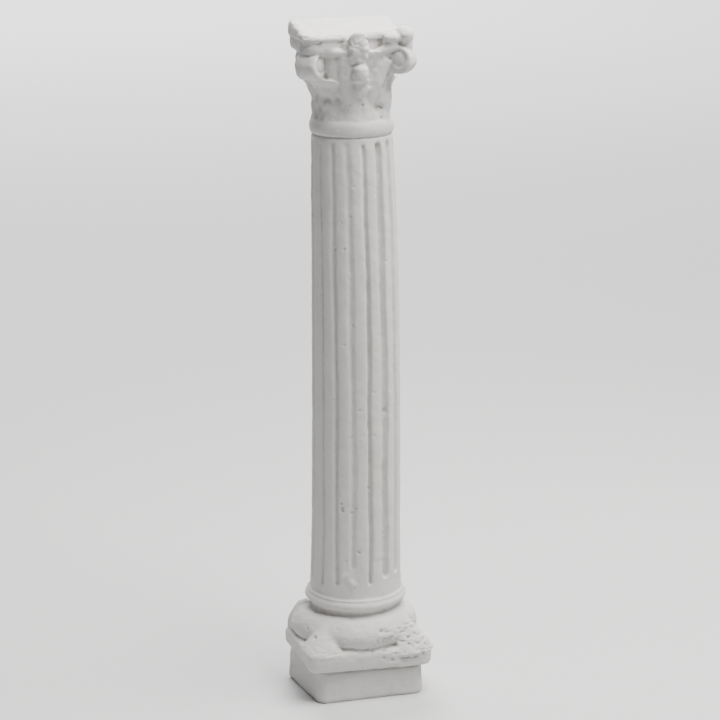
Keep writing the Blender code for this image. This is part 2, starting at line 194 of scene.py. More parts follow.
def drafted(name, low, high, half_width, back_half_width, front, corner, round_edge,
            flare=0.0, tilt=(0.0, 0.0, 0.0), steps=14):
    """Block that widens to the back and is cut there.

    The tilt gives how its foot and its top fall to the right, and how its foot falls to the front.
    """
    rise = (back_half_width - half_width) / (front + WALL)
    rings = []
    for i in range(steps + 1):
        s = i / steps
        height = low + (high - low) * s
        top_inset = round_edge * (1 - sqrt(max(0.0, 1 - max(0.0, (height - high) / round_edge + 1) ** 2)))
        foot_inset = 0.4 * round_edge * max(0.0, 1 - (height - low) / (0.5 * round_edge))
        inset = top_inset + foot_inset - flare * (1 - s) ** 1.5
        ring = []
        for side in (-1, 1):
            arc = [90 * k / 10 for k in range(11)]
            for a in arc if side < 0 else arc[::-1]:
                y = -(front - inset) + corner * (1 - sin(radians(a)))
                x = half_width - inset + rise * (y + front) - corner * (1 - cos(radians(a)))
                ring.append((side * x, y, height))
        x_back = half_width - inset + rise * (BEHIND + front)
        ring += [(x_back, BEHIND, height), (-x_back, BEHIND, height)]
        rings.append([(x, y, z - x * (tilt[0] * (1 - s) + tilt[1] * s) + (y + front) * tilt[2] * (1 - s))
                      for x, y, z in ring])
    return skin(name, rings)


drafted("block", 0.0, BLOCK_TOP + 0.5, 13.5, 16.2, 14.6, 2.4, 0.9, flare=0.45)
drafted("plinth", BLOCK_TOP - 0.3, PLINTH_TOP - 0.4, 16.2, 17.6, PLINTH_FRONT, 2.6, 1.3,
        flare=-0.3, tilt=PLINTH_TILT)
print("square layers:", BLOCK_TOP, "and", PLINTH_TOP - BLOCK_TOP, "mm high")

# %% [markdown]
# ## Base mouldings and corner claws
# A medieval base has a claw at each corner, which climbs from the plinth over the torus. On this
# small cast they are so broad that torus, claws and plinth make one soft cushion. Torus and claws
# are still made apart, because the creases between them come from where the two skins meet.

# %% Torus and its four claws
CUSHION_SHIFT = -0.6
# profiles in (reach, height) pairs
TORUS = [(14.4, 12.8), (15.1, 13.8), (15.8, 14.8), (16.1, 16.0),
         (15.8, 17.5), (15.0, 18.9), (13.8, 20.1), (12.3, TORUS_TOP)]
FRONT_LEFT = [(21.9, 12.8), (20.8, 14.2), (19.0, 15.9), (17.2, 17.6),
              (15.5, 19.1), (13.8, 20.2), (12.0, TORUS_TOP)]
FRONT_RIGHT = [(22.4, 11.6), (21.2, 13.1), (19.5, 14.9), (17.6, 16.8),
               (15.7, 18.6), (13.9, 19.9), (12.0, TORUS_TOP)]
BACK_LEFT = [(17.3, 12.6), (17.6, 14.6), (17.4, 16.4), (16.6, 18.0),
             (15.4, 19.6), (13.9, 21.0), (12.0, 21.6)]
BACK_RIGHT = [(18.4, 12.6), (18.5, 14.2), (18.0, 15.8), (17.0, 17.4),
              (15.5, 19.0), (13.9, 20.2), (12.0, TORUS_TOP)]
# turn of each claw, its spread to the left and to the right in degrees, and its profile
CLAWS = [(-47, 16, 16, FRONT_LEFT), (47, 18, 17, FRONT_RIGHT),
         (-108, 18, 20, BACK_LEFT), (108, 20, 18, BACK_RIGHT)]


def claw(name, middle, left, right, profile):
    """Broad ramp that narrows as it climbs."""
    rings = []
    points = eased_stations(profile, 24)
    for i, (reach, height) in enumerate(points):
        climbed = i / (len(points) - 1)
        spread = 1.35 - 0.6 * climbed
        floor_height = points[0][1] - 0.6 + (points[-1][1] - points[0][1]) * climbed * 0.8
        ring = []
        for k in range(25):
            u = -1 + k / 12
            turn = middle + u * spread * (right if u > 0 else left)
            ring.append(at(turn, reach * (1 - (0.05 + 0.17 * (1 - climbed)) * abs(u) ** 1.4),
                           height - (height - floor_height) * abs(u) ** 2.4, CUSHION_SHIFT * climbed))
        rings.append(ring + [at(middle, 8.0, height, CUSHION_SHIFT)])
    return skin(name, rings)


turned("torus", eased_stations(TORUS, 36), shift=CUSHION_SHIFT)
for i, (middle, left, right, profile) in enumerate(CLAWS):
    claw(f"claw_{i}", middle, left, right, profile)
print("torus and", len(CLAWS), "claws")

# %% Scotia, roll and fillet
SCOTIA_RADIUS = 11.5
ROLL_RADIUS = 12.95
rings_profile = [(12.6, TORUS_TOP - 1.5), (12.5, TORUS_TOP), (SCOTIA_RADIUS + 0.2, TORUS_TOP + 0.5),
                 (SCOTIA_RADIUS, TORUS_TOP + 1.0), (SCOTIA_RADIUS + 0.2, SCOTIA_TOP - 0.3)]
rings_profile += bulge(ROLL_RADIUS - 1.0, ROLL_RADIUS, SCOTIA_TOP, ROLL_TOP)
rings_profile += bulge(ROLL_RADIUS - 0.95, ROLL_RADIUS - 0.5, ROLL_TOP, FILLET_TOP, 6)
rings_profile.append((11.4, FILLET_TOP + 0.1))
turned("rings", rings_profile)
print("roll reaches", ROLL_RADIUS, "mm from the axis")

# %% [markdown]
# ## Shaft
# The shaft flares at its foot, tapers and leans a little, because the model was made by eye. Each
# flute is a narrow groove between slightly crowned bands, and no two next to each other are alike:
# the one right of the middle is the widest and deepest, and the one left of the middle is nearly
# filled. A table with four numbers for each flute says so, and slow waves make the edges wander.

# %% Shaft with its uneven flutes
FOOT_RADIUS = 11.1
HEAD_RADIUS = 9.85
FULL_ROUND = 16  # flutes that a whole column would have
PITCH = 360 / FULL_ROUND
LAST_FLUTE = 5  # counted from the middle flute to either side
FLUTES_HEAD = 141.0
# place among the flutes: half width, depth, foot height, squareness of the bottom
FLUTES = {-5: (0.8, 0.5, 29.0, 2.4), -4: (0.8, 0.5, 28.6, 2.4), -3: (0.75, 0.55, 28.2, 2.2),
          -2: (0.75, 0.6, 28.8, 2.2), -1: (0.95, 0.38, 33.4, 2.0), 0: (0.62, 0.85, 29.2, 3.0),
          1: (1.1, 1.05, 30.3, 3.2), 2: (0.9, 0.75, 30.6, 2.6), 3: (0.8, 0.6, 29.6, 2.4),
          4: (0.8, 0.5, 29.0, 2.4), 5: (0.8, 0.5, 29.0, 2.4)}
BAND_CROWN = 0.22


def rise_of(height):
    """Share of the shaft's height."""
    return (height - FILLET_TOP) / (SHAFT_TOP - FILLET_TOP)


def lean(height):
    """Sideways place of the shaft's axis: a slight belly to the right, then a lean to the left."""
    t = min(max(rise_of(height), 0.0), 1.0)
    return -0.85 * t ** 3 + 0.3 * sin(pi * t)


def shaft_radius(height):
    """Radius of the bands, with a flare at the foot."""
    t = max(rise_of(height), 0.0)
    flare = 0.6 * exp(-max(height - FILLET_TOP, 0.0) / 11.0)
    return FOOT_RADIUS - (FOOT_RADIUS - HEAD_RADIUS) * t ** 3 + flare


def groove(turn, height, radius):
    """Depth below the band at one point of the shaft."""
    twist = 3.5 - 4.0 * rise_of(height)
    place = (turn - twist) / PITCH
    k = int(np.clip(round(place), -LAST_FLUTE, LAST_FLUTE))
    half, depth, foot, square = FLUTES[k]
    wander = 0.10 * sin(height / 9.0 + 2.1 * k) + 0.06 * sin(height / 3.7 + 5.0 * k)
    aside = abs((place - k) * radians(PITCH) * radius + wander)
    half = half * (1 + 0.10 * sin(height / 6.3 + 1.7 * k))
    crown = BAND_CROWN * (1 - min(abs(abs(place - k) - 0.5) * 2, 1.0) ** 2)
    head = FLUTES_HEAD - 0.25 * cos(2.0 * k)
    end = min(height - foot, head - height)
    if end <= 0:
        return BAND_CROWN * 0.5
    ending = sqrt(1 - (1 - min(end / half, 1.0)) ** 2)
    depth *= 1 - (0.45 if k < 1 else 0.1) * min(max((height - 105) / 30, 0.0), 1.0)
    cut = depth * max(0.0, 1 - (aside / (half * max(ending, 0.3))) ** square) * ending
    fade = min(end / 2.0, 1.0)
    return BAND_CROWN * 0.5 * (1 - fade) + (BAND_CROWN - crown) * fade + cut


def fluted():
    """Rings of the shaft, close together at the ends of the flutes."""
    heights = np.concatenate([np.linspace(FILLET_TOP - 0.8, 36.0, 46), np.linspace(36.5, 137.5, 190),
                              np.linspace(138.0, SHAFT_TOP + 1.5, 24)])
    turns = np.linspace(-180, 180, 540, endpoint=False)
    rings = []
    for z in heights:
        radius = shaft_radius(z)
        rings.append([at(t, radius + 0.1 - groove(t, z, radius), z, lean(z)) for t in turns])
    return skin("shaft", rings)


fluted()
print("shaft from", FILLET_TOP, "to", SHAFT_TOP, "mm, radius", round(shaft_radius(34), 2), "to", HEAD_RADIUS)

# %% [markdown]
# ## Neck ring and bell
# A plain ring ends the shaft. Above it a waisted bell carries the leaves and scrolls. The bell is
# nearly as stout as they are, so the valleys between leaves and scrolls stay shallow and blunt.

# %% Neck and bell
BELL_END = BELL_TOP + 0.8
# height and radius
BELL = [(NECK_TOP, 9.3), (148.5, 8.9), (152.0, 8.8), (155.0, 9.2),
        (158.0, 10.1), (160.5, 11.0), (BELL_END, 12.1)]


def bell_radius(height):
    """Radius of the bell's face."""
    return eased(BELL, min(max(height, NECK_TOP), BELL_END))


neck = [(9.2, SHAFT_TOP - 0.4)] + bulge(9.3, 10.3, SHAFT_TOP - 0.2, NECK_TOP, 16) + [(9.3, NECK_TOP + 0.1)]
neck += [(bell_radius(z), z) for z in np.linspace(NECK_TOP + 0.5, BELL_END, 34)]
turned("neck_and_bell", neck, shift=CAPITAL_SHIFT)
print("bell from", NECK_TOP, "to", BELL_TOP)

# %% [markdown]
# ## Leaves
# The leaves stand against each other, and low swellings of the bell fill the spaces between them.
# Each acanthus leaf hugs the bell, narrows and widens with its lobes, and most turn outwards at
# the top. They could be sculpted, but rings that follow one rule per leaf stay editable: a list of
# stations from foot to tip gives height, half width, stand-off from the bell and thickness.

# %% Leaves round the bell
def leaf(name, turn, stations, rib=0.5, lobes=4.0, vein=0.16, across=20, across_back=10):
    """Leaf from (height, half width, stand-off, thickness) stations, with a rib and slanting veins."""
    last = len(stations) - 1
    count = last * 7
    rings = []
    for i, (height, half, stand, thick) in enumerate(eased_stations(stations, count)):
        t = last * i / count
        face = bell_radius(height) + stand
        half *= 1 + 0.08 * cos(2 * pi * lobes * t / last)
        ring = []
        for k in range(across + 1):
            u = -1 + 2 * k / across
            swell = (1 - abs(u) ** 2.6) * thick
            middle = rib * thick * exp(-(u / 0.16) ** 2)
            veins = vein * cos(2 * pi * (lobes * t / last + 1.2 * abs(u))) * (1 - u * u)
            reach = face - thick * 0.5 + swell * 0.8 + middle * 0.5 + veins
            ring.append(at(turn + np.degrees(u * half / face), reach, height, CAPITAL_SHIFT))
        for k in range(across_back + 1):
            u = 1 - 2 * k / across_back
            place = turn + np.degrees(u * half * 0.94 / face)
            ring.append(at(place, face - thick * 0.75, height - 0.05, CAPITAL_SHIFT))
        rings.append(ring)
    return skin(name, rings)


leaf("left_leaf", -58,
     [(145.8, 3.6, 0.0, 1.1), (148.6, 4.5, 0.1, 1.1), (151.4, 4.8, 0.2, 1.1), (153.8, 5.2, 1.1, 1.1),
      (155.4, 5.4, 2.5, 1.3), (156.3, 5.0, 3.0, 1.2), (156.4, 4.2, 2.9, 0.7)], vein=0.12)
leaf("right_leaf", 51,
     [(145.8, 3.2, 0.0, 1.2), (148.2, 3.9, 0.3, 1.3), (150.6, 4.1, 0.9, 1.3), (152.6, 3.6, 0.9, 1.2),
      (154.8, 3.1, 0.6, 1.2), (157.0, 2.6, 0.9, 1.0), (158.6, 1.6, 1.4, 0.6)], vein=0.10)
leaf("front_leaf", -6,
     [(145.8, 4.0, 0.0, 1.1), (148.6, 4.5, 0.2, 1.2), (151.6, 4.4, 0.5, 1.2), (154.4, 3.7, 0.9, 1.3),
      (156.4, 3.1, 1.0, 1.3), (158.4, 2.6, 0.7, 1.3), (159.9, 2.2, 0.3, 1.2)],
     rib=0.0, vein=0.08, lobes=2.0)
leaf("back_left_leaf", -101,
     [(145.8, 3.4, 0.0, 1.2), (149.5, 4.0, 0.3, 1.3), (153.0, 3.9, 1.0, 1.2),
      (155.9, 4.0, 2.3, 1.3), (156.8, 3.2, 2.9, 0.8)])
leaf("back_right_leaf", 99,
     [(145.8, 3.4, 0.0, 1.2), (149.5, 4.0, 0.4, 1.3), (153.0, 3.7, 0.9, 1.2),
      (155.6, 3.4, 1.9, 1.1), (156.0, 2.4, 2.8, 0.6)])
leaf("front_tip", -5,
     [(155.6, 1.7, 1.2, 1.6), (156.1, 2.1, 2.3, 2.0), (157.6, 2.15, 2.5, 2.0),
      (159.2, 2.0, 2.0, 1.8), (160.2, 1.6, 0.8, 1.4)], rib=0.0, vein=0.0)
cord_form("left_calyx",
          [(-22, 5.4, 147.0, 3.0), (-23, 6.8, 153.0, 3.4), (-25, 7.8, 158.5, 3.7), (-26, 8.8, 162.5, 3.3)])
cord_form("left_filling", [(-50, 7.2, 153.0, 2.7), (-44, 8.5, 157.5, 3.1), (-43, 9.8, 162.5, 2.6)])
cord_form("right_calyx",
          [(8, 5.6, 148.0, 2.6), (16, 7.2, 153.8, 3.0), (25, 8.2, 158.2, 3.2), (34, 9.4, 161.6, 3.0)])
cord_form("right_filling", [(52, 6.4, 154.0, 2.4), (46, 8.0, 158.5, 2.5), (42, 9.6, 162.0, 2.2)])
PALM_RIBS = 5
for i in range(PALM_RIBS):
    fan = radians(-50 + 25 * i)
    cord_form(f"palm_{i}", [(-3, 9.9, 151.8, 0.25),
                            (-3 + 9 * sin(fan), 10.15, 152.4 + 1.4 * cos(fan), 0.3),
                            (-3 + 15 * sin(fan), 10.2, 152.9 + 2.6 * cos(fan), 0.34)])
print("five leaves, a blunt tip, four swellings and a palm of", PALM_RIBS, "ribs")

# %% [markdown]
# ## Corner scrolls and their stems
# A scroll is a thick disc with a spiral sunk in each face. Seen along the diagonal, the left one
# shows mostly its rim and the right one its spiral. A stem runs from behind the middle ornament
# along the underside of the abacus and rolls into each scroll.

# %% Scrolls
def scroll(name, turn, reach, height, radius, half_width, facing, windings, dip, sides=56):
    """Thick disc at a turn and reach, whose rim looks along facing, with a spiral sunk in both faces."""
    centre = Vector(at(turn, reach, height, CAPITAL_SHIFT))
    a = radians(facing)
    axis = Vector((cos(a), sin(a), 0.0))
    out = Vector((sin(a), -cos(a), 0))
    up = out.cross(axis)
    face = [(s, 1.0) for s in np.linspace(0.06, 0.84, 16)]
    rim = [(0.84 + 0.16 * sin(pi / 2 * i / 6), 1.0 - 0.45 * (1 - cos(pi / 2 * i / 6))) for i in range(1, 7)]
    path = [(s, -w) for s, w in face + rim] + [(s, w) for s, w in (face + rim)[::-1]]
    rings = []
    for share, width in path:
        ring = []
        for k in range(sides):
            c = 2 * pi * k / sides
            phase = windings * 2 * pi * (share - 0.28) / 0.62 - c
            sunk = dip * (0.5 - 0.5 * cos(phase)) ** 1.5 * (0.28 < share < 0.9)
            edge = min(max((share - 0.28) / 0.12, 0), 1) * min(max((0.9 - share) / 0.1, 0), 1)
            side = width * half_width - np.sign(width) * sunk * edge
            ring.append(centre + axis * side
                        + out * (radius * share * cos(c)) + up * (radius * share * sin(c)))
        rings.append(ring)
    return skin(name, rings)


scroll("left_scroll", -60, 13.6, 159.7, 3.5, 2.9, facing=-46, windings=1.25, dip=0.6)
scroll("right_scroll", 49, 13.2, 160.7, 3.4, 2.3, facing=49, windings=1.4, dip=0.42)
cord_form("left_stem",
          [(-20, 9.6, 160.6, 1.0), (-28, 10.9, 162.5, 1.1), (-42, 12.1, 163.0, 1.1),
           (-56, 13.3, 162.7, 1.2), (-68, 14.0, 162.1, 1.2)])
cord_form("right_stem",
          [(6, 9.6, 160.6, 1.0), (16, 10.6, 162.2, 1.1), (28, 11.7, 163.6, 1.1),
           (40, 12.6, 164.0, 1.1), (52, 13.3, 163.7, 1.0)])
cord_form("left_side_stem",
          [(-64, 12.4, 162.6, 2.1), (-76, 12.3, 163.6, 2.2),
           (-90, 12.1, 164.0, 2.2), (-106, 11.9, 163.8, 2.2)])
cord_form("left_side_swelling", [(-72, 11.6, 159.2, 1.8), (-88, 11.6, 160.6, 2.2), (-104, 11.4, 160.8, 2.2)])
ball("right_corner", at(38, 11.8, 164.9, CAPITAL_SHIFT), (2.8, 1.8, 1.9), turn=38)
cord_form("right_side_stem",
          [(60, 12.6, 162.4, 1.2), (76, 11.3, 162.8, 1.3), (94, 10.8, 162.6, 1.3), (110, 11.0, 162.4, 1.3)])
print("two scrolls, with stems towards the front and the sides")

# %% [markdown]
# ## Abacus
# The lid of the capital has a hollow front, a straight left end and blunt horns over the scrolls.
# Its plan is a line through a list of places, eased into a curve and closed behind the wall. There
# are two layers: a rounded neck below, and a thick slab above it whose top falls to the front.

# %% Abacus plan and its two layers
# both layers share the places along the front and the right; their left ends differ
FRONT_PLAN = [(-13.1, -10.5), (-10.4, -11.0), (-7.0, -10.5), (-3.0, -9.7), (1.0, -9.4),
              (5.0, -9.4), (8.6, -10.2), (11.0, -11.6), (12.6, -10.6), (12.2, -8.4),
              (10.6, -5.6), (10.2, -2.8), (10.9, 0.6), (11.4, BEHIND)]
PLAN = [(-14.7, BEHIND), (-14.7, 1.6), (-14.8, -1.2), (-14.8, -4.2), (-14.9, -7.0), (-14.6, -9.0)]
PLAN += FRONT_PLAN
LOWER_PLAN = [(-14.4, BEHIND), (-14.4, 1.6), (-14.4, -1.2), (-14.5, -4.0), (-14.6, -6.8), (-14.3, -8.7)]
LOWER_PLAN += [(x, y + 0.35) for x, y in FRONT_PLAN]


def abacus_plan(plan, inset, per_side=6):
    """Closed plan through a list of places, drawn in by an inset."""
    points = np.array(eased_stations(plan, (len(plan) - 1) * per_side))
    way = np.gradient(points, axis=0)
    way /= np.linalg.norm(way, axis=1)[:, None]
    inward = np.stack([-way[:, 1], way[:, 0]], axis=1)
    drawn = points + inward * inset
    drawn[0, 1] = drawn[-1, 1] = BEHIND
    return drawn


def abacus_layer(name, plan, levels, fall=0.0, cross_fall=0.0):
    """Layer through (height, inset) pairs; its top falls to the front and to the left."""
    low, high = levels[0][0], levels[-1][0]
    rings = []
    for z, inset in levels:
        share = (z - low) / (high - low)
        rings.append([(x + CAPITAL_SHIFT, y, z + share * (fall * (y - WALL) + cross_fall * x))
                      for x, y in abacus_plan(plan, inset)])
    return skin(name, rings)


abacus_layer("abacus_neck", LOWER_PLAN,
             [(161.9, 2.0), (162.3, 1.1), (162.9, 0.5), (163.8, 0.25),
              (164.8, 0.2), (165.6, 0.35), (166.6, 1.0)])
abacus_layer("slab", PLAN,
             [(165.3, 1.2), (165.7, 0.5), (166.3, 0.1), (167.0, 0.0),
              (168.0, 0.05), (168.8, 0.2), (169.4, 0.5), (SLAB_TOP, 1.0)],
             fall=0.175, cross_fall=0.012)
ball("right_horn", at(48, 14.0, 166.6, CAPITAL_SHIFT), (2.7, 2.4, 2.05), turn=50)
ball("right_horn_inner", at(36, 12.5, 166.2, CAPITAL_SHIFT), (3.0, 2.0, 1.35), turn=36)
ball("left_horn", at(-52, 14.2, 165.0, CAPITAL_SHIFT), (2.0, 1.5, 1.0), turn=-35)
ball("left_underside", at(-62, 13.9, 163.1, CAPITAL_SHIFT), (2.9, 2.6, 1.8), turn=-62)
print("abacus spans", PLAN[0][0], "to", PLAN[-1][0], "mm")

# %% [markdown]
# ## Middle ornament
# In the middle of the abacus sits a small shell: ridges spread like a fan over a pair of drooping
# petals and a bud. It is a common ornament, and it is modelled as separate soft ridges, because
# fused ridges leave the same blunt valleys as the casting.

# %% Shell and petals
SHELL_TURN = -8.0
SHELL_REACH = 12.1
SHELL_RIDGES = 7
ball("shell_ground", at(SHELL_TURN, 11.0, 163.9, CAPITAL_SHIFT), (2.7, 1.8, 3.6), turn=SHELL_TURN)
ball("shell_flank", at(SHELL_TURN - 11, 10.3, 163.8, CAPITAL_SHIFT), (2.0, 1.5, 2.6), turn=SHELL_TURN - 11)
for i in range(SHELL_RIDGES):
    fan = radians(-78 + 26 * i)
    cord_form(f"shell_ridge_{i}",
              [(SHELL_TURN + 1.5 * sin(fan), SHELL_REACH, 163.0, 0.4),
               (SHELL_TURN + 6.5 * sin(fan), SHELL_REACH + 0.5, 163.3 + 1.7 * cos(fan), 0.5),
               (SHELL_TURN + 11.0 * sin(fan), SHELL_REACH, 163.5 + 3.4 * cos(fan), 0.55)])
for side in (-1, 1):
    cord_form(f"petal_{side + 1}", [(SHELL_TURN + 1.0 * side, SHELL_REACH - 0.1, 162.9, 0.5),
                                    (SHELL_TURN + 5.5 * side, SHELL_REACH + 0.2, 162.7, 0.55),
                                    (SHELL_TURN + 10.0 * side, SHELL_REACH - 0.4, 161.4, 0.5)])
    under = at(SHELL_TURN + 5.5 * side, SHELL_REACH - 0.8, 161.0, CAPITAL_SHIFT)
    ball(f"under_petal_{side + 1}", under, (1.0, 0.9, 0.8))
ball("bud", at(SHELL_TURN, SHELL_REACH - 0.5, 161.2, CAPITAL_SHIFT), (0.8, 0.9, 0.9))
cord_form("shell_rim", [(SHELL_TURN - 10, SHELL_REACH - 0.5, 166.0, 0.7),
                        (SHELL_TURN, SHELL_REACH - 0.2, 167.1, 0.9),
                        (SHELL_TURN + 9, SHELL_REACH - 0.4, 166.4, 0.8)])
print("shell of", SHELL_RIDGES, "ridges")

# %% [markdown]
# ## Fusing the forms
# A casting has no seams between its forms. Voxel remeshing pours one skin over all the closed
# forms, as plaster fills a mould, and a little smoothing stands for the mould's soft detail.

# %% One skin
VOXEL = 0.24


def evaluated_mesh(thing):
    """Mesh of an object with its modifiers applied."""
    bpy.context.view_layer.update()
    return bpy.data.meshes.new_from_object(thing.evaluated_get(bpy.context.evaluated_depsgraph_get()))


def fuse(name, forms, voxel, smooth_steps):
    """One closed skin over many closed forms."""
    whole = bmesh.new()
    for form in forms:
        whole.from_mesh(form.data)
    mesh = bpy.data.meshes.new(name)
    whole.to_mesh(mesh)
    whole.free()
    for form in forms:
        bpy.data.objects.remove(form, do_unlink=True)
    thing = bpy.data.objects.new(name, mesh)
    bpy.context.collection.objects.link(thing)
    remesh = thing.modifiers.new("pour", "REMESH")
    remesh.mode = "VOXEL"
    remesh.voxel_size = voxel * mm
    remesh.use_smooth_shade = True
    soften = thing.modifiers.new("soften", "SMOOTH")
    soften.factor = 0.5
    soften.iterations = smooth_steps
    thing.data = evaluated_mesh(thing)
    thing.modifiers.clear()
    return thing


def soften_between(thing, low, high, steps):
    """Smooths what lies between two heights, where the forms meet in many small corners."""
    group = thing.vertex_groups.new(name="soft")
    group.add([v.index for v in thing.data.vertices if low * mm < v.co.z < high * mm], 1.0, "REPLACE")
    melt = thing.modifiers.new("melt", "SMOOTH")
    melt.factor = 0.5
    melt.iterations = steps
    melt.vertex_group = group.name
    thing.data = evaluated_mesh(thing)
    thing.modifiers.clear()
    thing.vertex_groups.clear()


column = fuse("plaster_half_column", raw_forms, VOXEL, smooth_steps=4)
raw_forms.clear()
soften_between(column, NECK_TOP - 0.5, SLAB_TOP + 1.0, steps=5)
soften_between(column, BLOCK_TOP + 2.0, TORUS_TOP - 1.0, steps=12)
print("fused skin:", len(column.data.vertices), "points")

# %% [markdown]
# ## Noise by hand
# The wear below moves points, so it needs noise as numbers. A small lattice noise in numpy is
# fast on a few hundred thousand points, and it repeats exactly, because a seed fixes its lattice.

# %% Lattice noise
def lattice_noise(points, size, seed):
    """Smooth noise from -1 to 1 at points in millimetres; size is its grain."""
    p = points / size
    base = np.floor(p).astype(np.int64)
    f = p - base
    f = f * f * (3 - 2 * f)
    total = np.zeros(len(points))
    for dx in (0, 1):
        for dy in (0, 1):
            for dz in (0, 1):
                q = base + (dx, dy, dz)
                h = (q[:, 0] * 73856093) ^ (q[:, 1] * 19349663) ^ (q[:, 2] * 83492791) ^ (seed * 2654435761)
                h = (h ^ (h >> 13)) * 1274126177
                value = ((h ^ (h >> 16)) & 0xFFFF) / 32767.5 - 1
                weight = ((f[:, 0] if dx else 1 - f[:, 0]) * (f[:, 1] if dy else 1 - f[:, 1])
                          * (f[:, 2] if dz else 1 - f[:, 2]))
                total += value * weight
    return total


def read_points(thing):
    """Points of a mesh in millimetres, and its normals."""
    count = len(thing.data.vertices)
    points = np.empty(count * 3)
    normals = np.empty(count * 3)
    thing.data.vertices.foreach_get("co", points)
    thing.data.vertex_normals.foreach_get("vector", normals)
    return points.reshape(-1, 3) / mm, normals.reshape(-1, 3)


def write_points(thing, points):
    """Puts points in millimetres back on a mesh."""
    thing.data.vertices.foreach_set("co", (points * mm).astype(np.float32).ravel())
    thing.data.update()


print("noise ready")

# %% [markdown]
# ## Wear
# Three scales of noise make the soft waviness, the lumps and the fine grain of cast plaster. Two
# thin lines are sunk where layers meet: under the plinth and under the neck ring. The right front
# of the base broke up in the mould, so it gets coarse pitting. The larger pits, nicks and lumps
# are placed one by one where the real piece has them, and small pits are strewn at random.

# %% Waviness and the rough patch
points, normals = read_points(column)
on_back = points[:, 1] > WALL - 0.3
turn = np.degrees(np.arctan2(points[:, 0], -points[:, 1]))
height = points[:, 2]


def band(values, low, high, soft):
    """Mask that is 1 between two values and fades over a soft edge."""
    return np.clip((values - low) / soft + 1, 0, 1) * np.clip((high - values) / soft + 1, 0, 1)


capital = band(height, 146.5, 200, 1.5)
base = band(height, -5, 24, 1.0)
rough = band(turn, 8, 60, 12) * band(height, 10.5, 17.5, 1.6)
push = (0.08 * lattice_noise(points, 3.1, 1) + 0.045 * lattice_noise(points, 1.1, 2)
        + 0.025 * lattice_noise(points, 0.5, 3))
push += capital * (0.12 * lattice_noise(points, 1.7, 4) + 0.06 * lattice_noise(points, 0.8, 5))
push += base * (0.10 * lattice_noise(points, 2.0, 6) + 0.05 * lattice_noise(points * (1, 1, 2.5), 1.2, 9))
holes = (lattice_noise(points * (0.6, 0.6, 2.0), 1.0, 7)
         + 0.6 * lattice_noise(points * (0.8, 0.8, 1.6), 0.6, 8))
slab_edge = 0.7 * band(height, 164.4, 167.0, 0.6) * band(turn, -60, 38, 8)
cushion_front = 0.5 * band(turn, -40, 8, 10) * band(height, 12.5, 16, 1.0)
broken = rough + slab_edge + cushion_front
push -= broken * (0.55 * np.clip(holes - 0.25, 0, 0.8) + 0.12)
under_plinth = height - (BLOCK_TOP - 0.45 - PLINTH_TILT[0] * points[:, 0]
                         + PLINTH_TILT[2] * (points[:, 1] + PLINTH_FRONT))
push -= 0.75 * np.exp(-(under_plinth / 0.26) ** 2)
push -= 0.30 * np.exp(-((height - SHAFT_TOP + 0.1) / 0.2) ** 2)
points += normals * push[:, None]
print("rough patch covers", round(float(rough.mean()) * 100, 1), "% of the skin")

# %% Pits, nicks and lumps
# turn, height, radius, depth; a negative depth is a lump
MARKS = [(-45.6, 115.0, 0.34, 0.45), (-28.8, 115.2, 0.30, 0.40), (-12.8, 38.2, 0.42, 0.5),
         (2.9, 54.6, 0.5, 0.45), (-50.6, 17.1, 0.45, 0.6), (-5.1, 150.0, 0.35, 0.6),
         (32.1, 148.6, 0.38, 0.6), (29.0, 147.1, 0.30, 0.5), (-34.3, 50.4, 0.32, 0.4),
         (-34.3, 49.7, 0.42, 0.6), (-34.5, 49.0, 0.45, 0.6), (-96, 123.8, 0.6, 0.25),
         (-96.3, 92.9, 0.5, 0.3), (-97.1, 88.2, 0.5, 0.3), (-88.7, 55.9, 0.6, 0.3),
         (27.4, 74.0, 0.8, 0.3), (-73, 148.8, 1.3, 0.45), (21, 149.2, 1.3, 0.6),
         (27, 148.8, 1.2, 0.5), (-40, 151.0, 1.0, 0.35), (-58, 150.0, 0.9, -0.3),
         (-32.5, 31.8, 0.8, -0.35), (-26.0, 32.2, 0.7, -0.25), (-22.0, 30.6, 0.9, -0.35),
         (-17.4, 29.8, 0.8, -0.35)]
STREWN_PITS = 170
ROUGH_PITS = 26
MM_PER_DEGREE = 0.19  # along the shaft's face


def surface_place(turn_degrees, level):
    """Point of the skin nearest to a turn and height, seen from outside."""
    away = np.abs((turn - turn_degrees + 180) % 360 - 180) * MM_PER_DEGREE + np.abs(height - level)
    near = np.where(away < away.min() + 0.3)[0]
    reach = np.hypot(points[near, 0], points[near, 1])
    return points[near[np.argmax(reach)]]


def mark(centre, radius, depth):
    """Round pit, or lump, with a soft rim."""
    away = np.linalg.norm(points - centre, axis=1) / radius
    return -depth * np.exp(-(away ** 2) * 1.2) * (away < 3)


centres = [(surface_place(t, z), r, d) for t, z, r, d in MARKS]
rng = np.random.default_rng(11)
outer = np.where(~on_back & (height > 1))[0]
for pick in rng.choice(outer, STREWN_PITS, replace=False):
    centres.append((points[pick].copy(), rng.uniform(0.16, 0.32), rng.uniform(0.12, 0.34)))
for pick in rng.choice(np.where(rough > 0.6)[0], ROUGH_PITS, replace=False):
    centres.append((points[pick].copy(), rng.uniform(0.2, 0.45), rng.uniform(0.2, 0.5)))
push = sum(mark(centre, radius, depth) for centre, radius, depth in centres)
points += normals * push[:, None]
write_points(column, points)
print(len(centres), "pits, nicks and lumps")

# %% [markdown]
# ## Flat back and flat foot
# The back was scraped level while the plaster was wet, and the foot stands flat. Two plane cuts
# give those faces, each filled again, so the skin stays closed.

